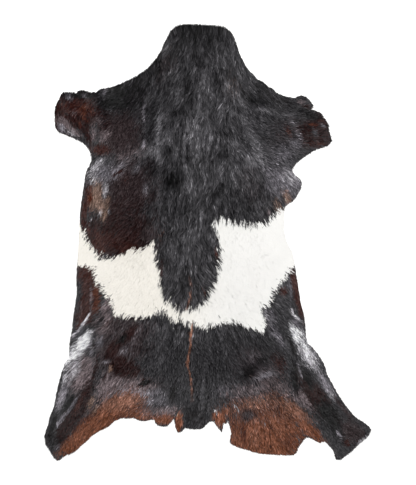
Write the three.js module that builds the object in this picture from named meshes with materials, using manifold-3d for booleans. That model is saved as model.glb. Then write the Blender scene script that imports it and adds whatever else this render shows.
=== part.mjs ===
// A goatskin rug: one tanned skin with its hair on, lying flat with the hair up.
//
// Millimetres, +Z up. The rug lies on the plane z = 0 with its neck towards +Y and its hind feet
// towards -Y, and the origin is under the middle of its outline.
//
// The skin and its pile are one closed solid. Its edge is the line that the hair tips reach, its
// top is the combed surface of the pile, and its underside is the flesh side of the skin: flat on
// the floor, apart from where a fold lifts it.

import * as THREE from "three";
import { mergeVertices } from "three/addons/utils/BufferGeometryUtils.js";
import Module from "manifold-3d";

const skin = 1.6; // thickness of the tanned skin
const pileAtEdge = 3.2; // depth of the lying hair where it was trimmed
const pileOnBack = 9.5; // depth of the lying hair along the spine
const pileDeepens = 150; // distance in from the edge over which it gains that depth
const foldSlack = 0.5; // a fold lower than this leaves the flesh side on the floor
const facet = 15; // side of a facet on the top and in the folds
const arcStep = 11; // longest straight piece of the edge
const margin = 2 * facet; // how far the blocks reach past the edge before they are cut
const depthBelow = 20; // how far the blocks reach below the floor
const cutterHeight = 60;

// A short table: every row gets the names of its columns.
const table = (columns, rows) =>
  rows.map((row) => Object.fromEntries(columns.split(" ").map((name, i) => [name, row[i]])));

// The edge, walked anticlockwise from the neck. A row is one arc, from its own x, y to those of the
// row below it, and bow is how far the arc stands out from the straight line at its middle: more
// than 0 where the edge bulges, less where it draws in.
const neck = table("x y bow", [
  [27, 496, 0.5],
  [-53, 500, 4.5],
  [-87, 483, 0.5],
  [-106, 443, -8],
  [-173, 376, -2],
]);

const leftForeleg = table("x y bow", [
  [-233, 354, 1],
  [-246, 352, -1],
  [-256, 344, 0],
  [-270, 343, 0],
  [-280, 346, 1],
  [-297, 347, 0],
  [-301, 342, 1],
  [-333, 343, 2],
  [-341, 328, 1],
  [-350, 312, 1.5],
  [-350, 264, 4],
  [-331, 249, 1],
  [-311, 241, 0],
  [-288, 230, -6],
]);

const leftFlank = table("x y bow", [
  [-266, 190, -1],
  [-276, 168, 1],
  [-291, 86, 1],
  [-293, 30, 0],
  [-299, -54, 0.5],
  [-300, -113, 0],
  [-310, -190, -1],
  [-316, -226, 1],
  [-317, -262, 2],
  [-334, -296, 1],
]);

const leftHindLeg = table("x y bow", [
  [-352, -376, 1],
  [-364, -411, 1],
  [-374, -450, 3],
  [-365, -471, 0],
  [-354, -492, 1],
  [-345, -500, 2],
  [-337, -496, -1],
  [-326, -486, 1.5],
  [-316, -485, 0],
  [-289, -464, 1],
  [-267, -442, -1],
  [-249, -431, 1],
  [-233, -424, 0],
]);

const rump = table("x y bow", [
  [-216, -410, 0],
  [-199, -401, -0.5],
  [-186, -403, 0],
  [-172, -401, 0],
  [-158, -407, 2],
  [-138, -407, 0],
  [-123, -404, 0],
  [-119, -416, 2],
  [-111, -420, 0.5],
  [-93, -421, 0.5],
  [-86, -413, 0],
  [-77, -402, 0],
  [-74, -424, 0.5],
  [-69, -435, 2],
  [-60, -434, 0],
  [-54, -424, 2],
  [-16, -427, 2],
  [1, -410, -1],
  [13, -409, 0.5],
  [32, -435, 0],
  [34, -409, 0],
  [41, -416, 0],
  [45, -403, 1],
  [54, -432, 0],
]);

const rightHindLeg = table("x y bow", [
  [50, -457, 2],
  [57, -464, 1],
  [94, -476, 1],
  [124, -484, 1],
  [195, -487, 2],
  [202, -482, 0],
  [207, -468, -1],
  [227, -445, -1],
  [257, -460, 1],
  [265, -453, -2],
  [288, -478, 0],
  [292, -496, 3],
  [304, -497, 1],
  [331, -476, 0],
  [368, -441, 2],
  [374, -429, 3],
  [367, -420, 1],
  [341, -403, -2],
]);

const rightFlank = table("x y bow", [
  [300, -352, 0],
  [271, -299, 1],
  [266, -279, 1],
  [245, -247, 1],
  [226, -229, -1],
  [221, -178, 0.5],
  [211, -132, 0],
  [201, -70, 1],
  [191, -20, -1],
  [178, 6, -2],
  [173, 45, -2],
  [177, 82, -2],
  [194, 94, 1],
  [211, 121, 2],
  [215, 136, 3],
]);

const rightForeleg = table("x y bow", [
  [194, 158, -3],
  [197, 175, -1],
  [213, 191, 0],
  [244, 212, -1],
  [274, 221, 2],
  [283, 233, 1],
  [277, 255, 0],
  [276, 270, 1],
  [265, 285, 1],
  [257, 298, 1],
  [235, 305, 0],
  [241, 313, 2],
  [234, 324, 1],
  [222, 334, 2],
  [211, 337, 0],
  [198, 331, -1],
  [164, 340, 0],
  [150, 348, 0],
  [147, 355, 0],
  [139, 356, 0],
  [128, 367, 1],
]);

const nape = table("x y bow", [
  [113, 374, 1],
  [96, 392, -1],
  [81, 415, -1],
  [64, 458, 0],
  [54, 480, 3],
]);

const edge = [
  ...neck, ...leftForeleg, ...leftFlank, ...leftHindLeg, ...rump,
  ...rightHindLeg, ...rightFlank, ...rightForeleg, ...nape,
];

// The points of one arc, from its start up to but not including its end.
function arcPoints(start, end) {
  const from = new THREE.Vector2(start.x, start.y);
  const chord = new THREE.Vector2(end.x, end.y).sub(from);
  const steps = Math.max(1, Math.round(chord.length() / arcStep));
  const outward = new THREE.Vector2(chord.y, -chord.x).normalize();
  return Array.from({ length: steps }, (_, i) => {
    const t = i / steps;
    return from.clone().addScaledVector(chord, t).addScaledVector(outward, start.bow * 4 * t * (1 - t));
  });
}

const outline = edge.flatMap((start, i) => arcPoints(start, edge[(i + 1) % edge.length]));

// The folds, where the skin itself stands off the floor: a soft ridge along each line, as wide as
// 2 x reach and as high as height.
const folds = table("fold x0 y0 x1 y1 reach height", [
  ["left foreleg, hoof side", -322, 325, -318, 268, 20, 5],
  ["left foreleg, chest side", -262, 330, -248, 240, 24, 5],
  ["left flank crease", -258, -172, -316, -222, 14, 5],
  ["left thigh wrinkle", -250, -272, -212, -266, 16, 5],
  ["left shin, outer roll", -316, -322, -360, -440, 17, 5],
  ["left shin, middle roll", -286, -320, -338, -436, 17, 8],
  ["left shin, inner roll", -226, -292, -318, -464, 26, 7],
  ["right flank crease", 186, -150, 222, -184, 14, 5],
  ["right thigh ridge", 170, -196, 188, -300, 17, 7],
  ["right shin, inner roll", 203, -270, 216, -346, 15, 6],
  ["right shin, outer roll", 226, -262, 292, -368, 20, 8],
  ["right foot roll", 296, -380, 352, -436, 24, 6],
  ["right foreleg curl", 232, 318, 196, 312, 16, 5],
  ["right foreleg roll", 262, 268, 216, 246, 20, 4],
]);

// The swells, where the hair lies deeper and the skin stays down.
const swells = table("swell x0 y0 x1 y1 reach height", [
  ["left shoulder", -150, 320, -110, 170, 60, 2.5],
  ["right shoulder", 118, 280, 60, 160, 60, 2.5],
  ["withers", -10, 400, 6, 250, 45, 1.5],
  ["left ribs", -205, 110, -180, -30, 60, 2],
  ["right ribs", 110, 90, 120, -60, 55, 1.5],
  ["left haunch", -170, -230, -120, -330, 50, 2],
  ["right haunch", 110, -240, 90, -340, 50, 2],
  ["tail root", -20, -330, -16, -400, 30, 2],
]);

const spot = new THREE.Vector3();
const nearest = new THREE.Vector3();
const line = new THREE.Line3();

function distanceTo(x0, y0, x1, y1, x, y) {
  line.start.set(x0, y0, 0);
  line.end.set(x1, y1, 0);
  return line.closestPointToPoint(spot.set(x, y, 0), true, nearest).distanceTo(spot);
}

// How high the ridges of a table stand over a point: the highest of them, so that two that meet
// don't add up.
function ridgeHeight(ridges, x, y) {
  return ridges.reduce((highest, { x0, y0, x1, y1, reach, height }) => {
    const away = Math.min(1, distanceTo(x0, y0, x1, y1, x, y) / reach);
    return Math.max(highest, height * (0.5 + 0.5 * Math.cos(Math.PI * away)));
  }, 0);
}

function edgeDistance(x, y) {
  return outline.reduce((least, from, i) => {
    const to = outline[(i + 1) % outline.length];
    return Math.min(least, distanceTo(from.x, from.y, to.x, to.y, x, y));
  }, Infinity);
}

const outlineShape = new THREE.Shape(outline);
const bounds = new THREE.Box2().setFromPoints(outline);

function isInside(x, y) {
  return outline.reduce((inside, a, i) => {
    const b = outline[(i + 1) % outline.length];
    const crosses = a.y > y !== b.y > y && x < a.x + ((y - a.y) / (b.y - a.y)) * (b.x - a.x);
    return crosses ? !inside : inside;
  }, false);
}

// The flesh side stays down until a fold is higher than its slack.
const undersideAt = (x, y) => ridgeHeight(folds, x, y) - foldSlack;

function topAt(x, y) {
  const inward = isInside(x, y) ? edgeDistance(x, y) : 0;
  const deepened = THREE.MathUtils.smoothstep(inward, 0, pileDeepens);
  const pile = THREE.MathUtils.lerp(pileAtEdge, pileOnBack, deepened);
  return ridgeHeight(folds, x, y) + skin + pile + ridgeHeight(swells, x, y);
}

// A closed block of equal triangles, larger than the skin on every side. Its top follows heightAt,
// and its base is a flat plane below the floor.
function reliefBlock(heightAt) {
  const rowStep = (facet * Math.sqrt(3)) / 2;
  const columns = Math.ceil((bounds.max.x - bounds.min.x + 2 * margin) / facet);
  const rows = Math.ceil((bounds.max.y - bounds.min.y + 2 * margin) / rowStep);
  const at = (row, column) => row * (columns + 1) + column;
  const positions = [];
  const triangles = [];

  for (let row = 0; row <= rows; row++) {
    for (let column = 0; column <= columns; column++) {
      const x = bounds.min.x - margin + (column + (row % 2) / 2) * facet;
      const y = bounds.min.y - margin + row * rowStep;
      positions.push(x, y, heightAt(x, y));
    }
  }
  for (let row = 0; row < rows; row++) {
    for (let column = 0; column < columns; column++) {
      const [a, b] = [at(row, column), at(row, column + 1)];
      const [c, d] = [at(row + 1, column), at(row + 1, column + 1)];
      triangles.push(...(row % 2 === 0 ? [a, b, c, b, d, c] : [a, b, d, a, d, c]));
    }
  }

  // The walls and the base hang from the rim of the top, walked anticlockwise.
  const rim = [];
  for (let column = 0; column < columns; column++) rim.push(at(0, column));
  for (let row = 0; row < rows; row++) rim.push(at(row, columns));
  for (let column = columns; column > 0; column--) rim.push(at(rows, column));
  for (let row = rows; row > 0; row--) rim.push(at(row, 0));
  const firstBelow = positions.length / 3;
  const middle = firstBelow + rim.length;
  for (const top of rim) positions.push(positions[3 * top], positions[3 * top + 1], -depthBelow);
  positions.push(0, 0, -depthBelow);
  rim.forEach((a, i) => {
    const next = (i + 1) % rim.length;
    const [b, belowA, belowB] = [rim[next], firstBelow + i, firstBelow + next];
    triangles.push(a, belowA, belowB, a, belowB, b, belowA, middle, belowB);
  });

  const geometry = new THREE.BufferGeometry();
  geometry.setAttribute("position", new THREE.Float32BufferAttribute(positions, 3));
  geometry.setIndex(triangles);
  return geometry;
}

// The cutter: a prism of the outline that stands on the floor, taller than any fold.
function cutterGeometry() {
  return new THREE.ExtrudeGeometry(outlineShape, { depth: cutterHeight, bevelEnabled: false });
}

const wasm = await Module();
wasm.setup();

function toSolid(geometry) {
  const bare = new THREE.BufferGeometry();
  bare.setAttribute("position", geometry.getAttribute("position"));
  bare.setIndex(geometry.getIndex());
  const merged = mergeVertices(bare, 1e-4);
  const triVerts = new Uint32Array(merged.getIndex().array);
  const vertProperties = new Float32Array(merged.getAttribute("position").array);
  return new wasm.Manifold(new wasm.Mesh({ numProp: 3, vertProperties, triVerts }));
}

function toGeometry(solid) {
  const { vertProperties, triVerts } = solid.getMesh();
  const geometry = new THREE.BufferGeometry();
  geometry.setAttribute("position", new THREE.BufferAttribute(vertProperties, 3));
  geometry.setIndex(new THREE.BufferAttribute(triVerts, 1));
  geometry.computeVertexNormals();
  return geometry;
}

function goatskin() {
  const sheet = toSolid(reliefBlock(topAt)).intersect(toSolid(cutterGeometry()));
  const solid = sheet.subtract(toSolid(reliefBlock(undersideAt)));
  const hair = new THREE.MeshStandardMaterial({ color: 0x2e2a2b, roughness: 0.6, metalness: 0 });
  const mesh = new THREE.Mesh(toGeometry(solid), hair);
  mesh.name = "goatskin";
  return mesh;
}

const rug = new THREE.Group();
rug.add(goatskin());

export default rug;
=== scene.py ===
import math

import bmesh
import bpy
import numpy as np
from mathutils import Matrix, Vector
from mathutils.bvhtree import BVHTree
from mathutils.geometry import delaunay_2d_cdt
from mathutils.kdtree import KDTree


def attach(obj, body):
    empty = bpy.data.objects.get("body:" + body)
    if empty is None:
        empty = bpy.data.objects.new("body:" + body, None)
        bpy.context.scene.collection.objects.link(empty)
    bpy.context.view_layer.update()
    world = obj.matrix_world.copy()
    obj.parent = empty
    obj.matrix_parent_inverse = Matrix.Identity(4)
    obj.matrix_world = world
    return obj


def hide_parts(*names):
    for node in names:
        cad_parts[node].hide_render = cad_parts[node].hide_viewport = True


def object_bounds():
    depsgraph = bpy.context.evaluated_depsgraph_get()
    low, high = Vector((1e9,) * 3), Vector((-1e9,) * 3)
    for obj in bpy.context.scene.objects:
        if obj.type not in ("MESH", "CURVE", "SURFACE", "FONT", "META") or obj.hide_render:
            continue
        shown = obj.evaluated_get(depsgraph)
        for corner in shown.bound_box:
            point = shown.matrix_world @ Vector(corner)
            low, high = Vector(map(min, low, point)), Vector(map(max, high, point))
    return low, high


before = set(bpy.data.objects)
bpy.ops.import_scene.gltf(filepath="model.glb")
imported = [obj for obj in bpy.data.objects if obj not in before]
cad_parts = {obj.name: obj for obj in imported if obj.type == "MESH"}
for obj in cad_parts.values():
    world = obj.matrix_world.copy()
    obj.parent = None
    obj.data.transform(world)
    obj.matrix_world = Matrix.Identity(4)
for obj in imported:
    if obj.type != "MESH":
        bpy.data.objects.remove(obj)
cad_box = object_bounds()

# A goatskin rug, in metres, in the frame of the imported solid: the neck lies towards +Y, the hind
# feet towards -Y, and the hair is up. The solid gives the outline, the folds and the depth of the
# pile. This script gives the skin, the hair and its colours.
MM = 0.001

SKIN = 1.6 * MM  # thickness of the tanned skin
SKIN_INSET = 0.5 * MM  # its cut edge lies this far inside the line that the hair tips reach
MAP_STEP = 1.6 * MM  # spacing of the maps that the hair is laid out on
SKIN_FACE = 8.0 * MM  # spacing of the points on the skin

STRAND_SPACING = 1.62 * MM
STRAND_WIDTH = 1.15 * MM  # a strand stands for about ten hairs, the finest that still shows
HAIR_LENGTH = 23.0 * MM  # on the back, where it is longest
SHOWS_AT = 0.62  # the share of its length at which a strand shows past those over it
ROOTS_PAST = 3 * MM  # no root stands farther outside the edge than this
HAIR_LAYERS = 5  # meshes that the hair is shared out over, so that none is too heavy
SEED = 11

# Hair gathers in wisps, and wisps in locks. Their spacing is in millimetres. Each differs from its
# neighbours by about this much: where it points and how it is rolled to the light, in degrees, how
# far it stands up, its length and its shade, a painted sheen or painted shade on its colour. Its
# point runs ahead by about spike millimetres.
LOCK = {"spacing": 11.0, "turn": 8, "lift": 0.10, "roll": 12, "length": 0.06, "shade": 0.15, "spike": 3.0}
WISP = {"spacing": 3.3, "turn": 6, "lift": 0.12, "roll": 14, "length": 0.10, "shade": 0.35, "spike": 4.2}

# How each point of a strand stands: how far along it is, how much of the pile's depth it has
# climbed, and its width as a share of the strand's own.
STRAND_ALONG = np.array([0.0, 0.34, 0.68, 1.0])
STRAND_CLIMB = np.array([0.0, 0.58, 0.88, 1.0])
STRAND_TAPER = np.array([0.9, 1.0, 0.72, 0.0])

# The tables are in millimetres and degrees.

# The lie of the hair, and its length as a share of the longest. A heading of 270 runs down the
# spine towards the tail, 180 runs out to the left flank and 0 to the right one.
LIE = [
    # x, y, heading, length
    # The neck and the shoulders
    (-20, 480, 268, 0.85), (-95, 430, 250, 0.8), (62, 430, 288, 0.8), (0, 330, 269, 1.0),
    (-130, 335, 238, 0.6), (112, 325, 305, 0.65),

    # The forelegs and the chest
    (-220, 305, 216, 0.4), (-300, 312, 225, 0.4), (-295, 258, 300, 0.4), (-338, 262, 310, 0.4),
    (-225, 250, 232, 0.4), (195, 275, 332, 0.4), (258, 282, 350, 0.35), (272, 240, 345, 0.4),
    (225, 325, 15, 0.4),

    # The back, the ribs and the flanks
    (-250, 180, 226, 0.4), (190, 155, 310, 0.45), (0, 150, 269, 1.0), (-180, 130, 240, 0.45),
    (-265, 90, 258, 0.4), (110, 130, 298, 0.65), (175, 100, 296, 0.65), (-25, 10, 268, 0.95),

    # The brown patch and the saddle
    (-200, -5, 234, 0.55), (-285, 0, 245, 0.45), (-180, -110, 242, 0.75), (-240, -100, 205, 0.6),
    (90, -40, 306, 0.8), (168, -40, 325, 0.7), (-285, -120, 263, 0.45), (205, -120, 284, 0.45),
    (-88, -90, 250, 0.8), (0, -95, 302, 0.8), (-45, -180, 266, 0.8), (70, -172, 306, 0.8),

    # The folds of the flanks, the parting and the haunches
    (160, -140, 330, 0.7), (-225, -190, 226, 0.55), (-300, -235, 212, 0.6), (214, -208, 318, 0.55),
    (-80, -270, 256, 0.42), (0, -270, 282, 0.42), (-160, -280, 240, 0.5), (95, -280, 298, 0.5),

    # The hind legs and the rump
    (-252, -290, 240, 0.4), (-312, -380, 242, 0.4), (-350, -460, 236, 0.35), (-240, -410, 228, 0.55),
    (-120, -390, 238, 0.5), (-25, -400, 270, 0.6), (75, -410, 282, 0.5), (130, -450, 277, 0.6),
    (205, -440, 298, 0.5), (200, -275, 300, 0.4), (262, -350, 307, 0.4), (332, -440, 318, 0.35),
]

# The white saddle, as the line round it where the tips of one colour lie over the other. It runs
# off the skin on both sides.
SADDLE = [
    # x, y
    (-330, 44), (-293, 38), (-276, 4), (-264, -16), (-247, -37), (-218, -37), (-200, -25), (-170, -11),
    (-167, -19), (-142, -14), (-126, -3), (-118, 14), (-50, 30), (12, 46), (25, 52), (53, 43), (82, 41),
    (112, 39), (133, 42), (149, 54), (163, 72), (171, 73), (230, 76), (240, -62), (196, -57), (178, -79),
    (160, -103), (147, -126), (136, -149), (124, -146), (131, -178), (130, -203), (118, -207),
    (106, -202), (83, -189), (62, -183), (28, -185), (-3, -199), (-22, -191), (-37, -187), (-42, -196),
    (-66, -173), (-76, -186), (-94, -163), (-129, -163), (-146, -176), (-160, -170), (-189, -172),
    (-214, -168), (-221, -142), (-235, -118), (-256, -96), (-266, -64), (-280, -56), (-330, -57),
]

# The black tongue that runs down the spine into the saddle.
TONGUE = [
    # x, y
    (-128, 60), (-128, 0), (-121, -28), (-117, -58), (-109, -101), (-103, -132), (-82, -148),
    (-62, -160), (-46, -157), (-30, -153), (-9, -143), (8, -121), (22, -79), (29, -48),
    (31, -2), (10, 36), (12, 70),
]

# Where the hair parts along the spine and shows its tan undercoat, and how plainly it does so.
PARTING = [
    # x, y, plain
    (-42, -72, 0.0), (-39, -113, 0.6), (-46, -140, 0.7), (-46, -158, 0.3), (-38, -172, 0.2),
    (-38, -188, 1.0), (-39, -230, 1.0), (-45, -258, 0.9), (-47, -282, 0.9), (-40, -305, 0.9),
    (-37, -335, 0.6), (-36, -360, 0.1),
]

# Goat hair as it shows in an even light, as sRGB.
HAIRS = {
    "pit_shade": "#191718",  # painted shade: black hair painted darker where it parts, for the shadow in its depth
    "jet": "#201e1f",
    "black": "#353436",
    "coal": "#3f3e41",
    "ash": "#5a575c",
    "pewter": "#79757b",
    "silver": "#a3a0a5",
    "frost": "#d9d8dd",
    "white": "#f6f5f2",
    "cream": "#f4f0e8",
    "oxblood": "#2b1c1b",
    "maroon": "#39231f",
    "chestnut": "#4a2a1e",
    "rust": "#6b4230",
    "copper": "#7e5747",
    "taupe": "#786257",
    "mauve": "#675c5e",
    "plum": "#362e2f",
}
PAINTED_SHEEN = "#99979b"  # painted highlight: what a glossy dark hair mirrors where it turns its side to the light, added to its colour

# The other hair in the black coat, in ovals: how far each reaches along its heading and to each
# side of it. Over 1, plain makes an oval crisper at its edge. The ash, pewter, silver, frost and
# mauve ovals are in part grey hair and in part painted sheen, where the dark hair turns to the
# light, and the blackest ovals, where the hair parts, are painted shade.
MARKINGS_AND_PAINTED_LIGHT = [
    # x, y, along, aside, heading, hair, plain
    # Broad hazes over the coat
    (-165, 330, 75, 55, 245, "jet", 0.55), (-205, 245, 70, 60, 270, "plum", 1.0),
    (-185, 120, 85, 70, 262, "plum", 1.2), (-165, 90, 70, 50, 262, "oxblood", 0.3),
    (100, 130, 80, 60, 290, "plum", 0.35), (190, 240, 60, 70, 300, "plum", 0.5),
    (-200, -230, 90, 70, 240, "plum", 1.1), (-190, -225, 80, 60, 230, "ash", 0.35),
    (110, -290, 80, 60, 300, "plum", 0.6), (110, -300, 60, 60, 300, "ash", 0.45),
    (-98, 405, 60, 34, 250, "plum", 0.5), (57, 360, 50, 26, 292, "taupe", 0.25),

    # The left foreleg
    (-305, 295, 70, 55, 0, "oxblood", 1.2), (-300, 302, 66, 42, 0, "maroon", 0.7),
    (-290, 338, 60, 9, 0, "jet", 1.0), (-319, 332, 10, 9, 300, "ash", 0.9),
    (-284, 336, 8, 5, 330, "ash", 0.7), (-276, 308, 34, 13, 350, "chestnut", 0.5),
    (-333, 313, 20, 9, 350, "chestnut", 0.4), (-305, 297, 12, 14, 0, "mauve", 0.45),
    (-318, 289, 16, 6, 320, "oxblood", 0.9), (-285, 287, 22, 11, 280, "chestnut", 0.75),
    (-279, 254, 38, 9, 292, "oxblood", 1.5), (-293, 268, 16, 5, 280, "chestnut", 0.8),
    (-328, 270, 30, 14, 315, "mauve", 1.0), (-306, 252, 22, 9, 325, "mauve", 1.0),
    (-334, 262, 16, 8, 300, "pewter", 1.0),

    # The left shoulder, the chest and the top of the ribs
    (-262, 250, 30, 12, 272, "mauve", 0.6), (-238, 242, 26, 16, 240, "mauve", 0.6),
    (-232, 268, 14, 10, 250, "oxblood", 0.6), (-248, 213, 14, 24, 270, "maroon", 1.3),
    (-205, 345, 36, 50, 250, "jet", 0.7), (-222, 320, 44, 22, 5, "pit_shade", 0.8),
    (-235, 347, 16, 6, 250, "ash", 0.8), (-146, 300, 34, 5, 268, "pewter", 0.6),
    (-162, 300, 36, 20, 268, "ash", 0.25), (-146, 226, 14, 5, 262, "pewter", 0.8),
    (-160, 205, 34, 9, 215, "mauve", 0.4), (-190, 195, 36, 24, 235, "mauve", 0.55),
    (-165, 168, 24, 15, 235, "ash", 0.6),

    # The left armpit and flank
    (-246, 156, 50, 32, 228, "ash", 0.9), (-258, 172, 38, 12, 228, "silver", 0.75),
    (-206, 164, 44, 16, 228, "pewter", 0.65), (-262, 140, 26, 14, 250, "silver", 0.75),
    (-268, 104, 45, 22, 262, "maroon", 1.0), (-205, 160, 26, 4, 212, "oxblood", 0.9),
    (-236, 120, 30, 12, 258, "silver", 0.65), (-256, 105, 42, 17, 266, "taupe", 0.95),
    (-244, 82, 24, 10, 262, "taupe", 0.9), (-232, 84, 30, 11, 262, "taupe", 0.75),
    (-243, 66, 14, 9, 262, "silver", 0.8), (-228, 72, 14, 4, 262, "silver", 0.7),
    (-270, 104, 30, 9, 268, "chestnut", 0.8), (-269, 85, 10, 3, 268, "taupe", 0.8),
    (-284, 68, 44, 9, 265, "maroon", 1.3), (-258, 42, 18, 18, 265, "oxblood", 1.2),

    # The brown patch on the left ribs
    (-188, 143, 26, 16, 250, "maroon", 0.4), (-143, 124, 22, 11, 260, "ash", 0.6),
    (-192, 20, 72, 74, 260, "oxblood", 1.3), (-182, 50, 50, 50, 260, "plum", 0.55),
    (-225, 8, 30, 50, 250, "maroon", 0.6), (-258, 12, 50, 22, 300, "maroon", 1.2),
    (-237, 66, 20, 9, 262, "taupe", 1.0), (-240, -18, 34, 14, 190, "chestnut", 0.35),
    (-180, -18, 20, 30, 235, "maroon", 0.8), (-140, 20, 30, 30, 260, "plum", 0.8),
    (-268, 52, 6, 2.5, 262, "silver", 0.9), (-105, 22, 20, 6, 252, "rust", 0.35),

    # The edges of the tongue
    (-108, -66, 36, 6, 265, "maroon", 0.7), (20, -28, 22, 6, 275, "maroon", 0.8),
    (-8, -112, 18, 6, 285, "chestnut", 0.5),

    # The left edge beside the saddle
    (-280, -110, 75, 26, 266, "maroon", 2.2), (-256, -132, 34, 10, 268, "chestnut", 1.1),
    (-267, -128, 34, 4, 270, "mauve", 0.8), (-290, -152, 30, 6, 266, "mauve", 0.4),
    (-300, -122, 50, 12, 266, "black", 1.1), (-292, -190, 12, 10, 230, "maroon", 1.0),
    (-232, -148, 28, 12, 245, "mauve", 1.0), (-230, -170, 14, 14, 225, "mauve", 0.9),

    # The fold of the left flank
    (-272, -196, 30, 9, 225, "pit_shade", 1.0), (-310, -216, 14, 8, 235, "coal", 1.2),
    (-285, -185, 30, 3, 237, "silver", 1.6), (-305, -208, 14, 3, 225, "pewter", 1.0),
    (-283, -212, 28, 4, 205, "silver", 1.3), (-288, -232, 38, 21, 237, "frost", 0.95),
    (-293, -207, 26, 9, 232, "coal", 1.2), (-301, -259, 26, 17, 240, "frost", 0.95),
    (-314, -268, 34, 18, 245, "frost", 0.8), (-272, -235, 30, 6, 240, "pewter", 0.7),
    (-258, -228, 30, 5, 250, "plum", 0.4),

    # The left haunch and thigh
    (-236, -195, 40, 20, 225, "mauve", 0.65), (-247, -228, 16, 12, 240, "ash", 0.8),
    (-225, -185, 30, 12, 215, "maroon", 0.5), (-217, -243, 30, 13, 232, "oxblood", 1.5),
    (-180, -208, 36, 12, 228, "oxblood", 0.9), (-198, -222, 22, 8, 222, "pit_shade", 0.8),
    (-192, -246, 16, 14, 240, "ash", 0.4), (-290, -300, 50, 34, 246, "mauve", 1.3),
    (-306, -290, 50, 14, 250, "silver", 0.7), (-334, -352, 40, 12, 250, "pewter", 0.9),
    (-225, -322, 50, 30, 238, "mauve", 1.2), (-193, -287, 38, 24, 345, "oxblood", 1.5),
    (-165, -332, 26, 60, 270, "mauve", 0.9), (-190, -345, 50, 18, 10, "pewter", 0.8),
    (-135, -345, 50, 14, 10, "pewter", 0.7), (-134, -364, 26, 13, 5, "pewter", 0.7),
    (-258, -290, 34, 5, 255, "oxblood", 1.1), (-236, -308, 18, 4, 255, "oxblood", 0.8),
    (-232, -272, 14, 5, 8, "pewter", 0.6), (-223, -290, 10, 5, 270, "taupe", 0.9),
    (-145, -322, 18, 7, 18, "pit_shade", 1.5),

    # The left hind edge and the rump
    (-240, -405, 120, 46, 36, "chestnut", 1.0), (-268, -430, 108, 30, 40, "rust", 1.2),
    (-222, -384, 60, 30, 30, "rust", 0.85), (-245, -366, 60, 20, 36, "mauve", 0.45),
    (-195, -366, 60, 26, 12, "copper", 0.85), (-150, -392, 48, 20, 2, "rust", 0.9),
    (-104, -400, 28, 18, 0, "rust", 1.3), (-108, -386, 60, 18, 4, "mauve", 0.7),
    (-128, -384, 14, 12, 250, "coal", 0.6),

    # Small patches over those above, and the left shin and foot
    (-326, -308, 26, 9, 250, "silver", 0.7), (150, -346, 24, 14, 8, "copper", 0.6),
    (70, -355, 16, 10, 300, "mauve", 0.7), (-266, -254, 20, 12, 240, "pewter", 0.5),
    (-279, -390, 22, 6, 240, "mauve", 0.6), (116, -350, 50, 14, 12, "mauve", 0.5),
    (-67, -412, 26, 9, 270, "rust", 1.5), (-108, -362, 20, 24, 250, "ash", 0.7),
    (-303, -388, 84, 19, 240, "oxblood", 1.5), (-266, -364, 22, 8, 240, "taupe", 0.7),
    (-258, -384, 20, 8, 240, "taupe", 0.6), (-258, -182, 16, 7, 225, "mauve", 0.6),
    (-312, 250, 22, 9, 330, "silver", 0.5), (-249, 280, 14, 10, 270, "mauve", 0.6),
    (-296, -372, 40, 7, 246, "maroon", 0.7), (-318, -368, 26, 6, 237, "pit_shade", 1.2),
    (-310, -372, 32, 4, 237, "ash", 1.0), (-338, -408, 24, 5, 236, "pewter", 0.8),
    (-356, -425, 40, 7, 255, "jet", 1.2), (-352, -462, 26, 17, 240, "jet", 0.6),
    (-345, -470, 10, 8, 240, "ash", 0.6),

    # The tail, the right haunch and the right hind leg
    (-32, -392, 34, 34, 270, "jet", 0.7), (-80, -345, 34, 10, 262, "jet", 0.8),
    (42, -344, 40, 18, 330, "ash", 0.6), (75, -332, 28, 6, 330, "pewter", 0.6),
    (92, -300, 38, 20, 222, "jet", 0.8), (122, -269, 28, 16, 205, "jet", 0.6),
    (140, -325, 45, 50, 315, "mauve", 0.6), (155, -262, 20, 20, 300, "oxblood", 0.6),
    (163, -279, 34, 24, 275, "maroon", 0.55), (175, -345, 40, 30, 300, "mauve", 0.6),
    (130, -430, 100, 110, 270, "chestnut", 1.0), (130, -452, 78, 92, 270, "rust", 1.35),
    (122, -366, 34, 80, 275, "copper", 0.55), (95, -338, 24, 60, 278, "mauve", 0.6),
    (105, -446, 42, 34, 270, "copper", 0.5), (178, -455, 34, 32, 270, "chestnut", 0.6),
    (130, -395, 60, 100, 285, "mauve", 0.3), (82, -436, 50, 14, 275, "chestnut", 0.7),
    (92, -396, 20, 26, 275, "plum", 0.85), (200, -388, 60, 24, 318, "copper", 0.8),
    (236, -432, 54, 16, 316, "rust", 1.0), (26, -404, 24, 14, 290, "rust", 1.4),
    (40, -388, 14, 16, 280, "rust", 0.8), (222, -358, 40, 20, 325, "mauve", 1.3),
    (136, -164, 24, 12, 300, "silver", 0.75), (200, -315, 40, 9, 276, "jet", 1.4),
    (130, -305, 36, 9, 20, "pewter", 0.65), (181, 257, 18, 7, 290, "maroon", 0.7),
    (212, -298, 34, 3, 290, "pewter", 1.0), (248, -358, 70, 22, 305, "oxblood", 1.6),
    (282, -398, 44, 20, 308, "jet", 1.4), (228, -312, 30, 10, 300, "jet", 1.2),
    (230, -260, 46, 22, 305, "silver", 0.85), (250, -290, 34, 15, 300, "silver", 0.55),
    (268, -322, 50, 11, 303, "pewter", 0.8), (284, -350, 18, 8, 300, "silver", 0.7),
    (315, -385, 50, 6, 310, "plum", 1.0), (328, -430, 40, 26, 318, "plum", 1.2),
    (292, -425, 26, 20, 310, "jet", 0.8), (300, -440, 14, 4, 300, "pewter", 0.9),
    (318, -458, 14, 10, 300, "maroon", 0.7), (352, -452, 20, 3, 45, "silver", 0.9),

    # The fold and the edge of the right flank
    (193, -238, 34, 5, 290, "jet", 1.0), (205, -212, 30, 16, 300, "frost", 0.9),
    (192, -198, 10, 8, 270, "frost", 0.9), (220, -232, 28, 14, 305, "frost", 0.65),
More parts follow.
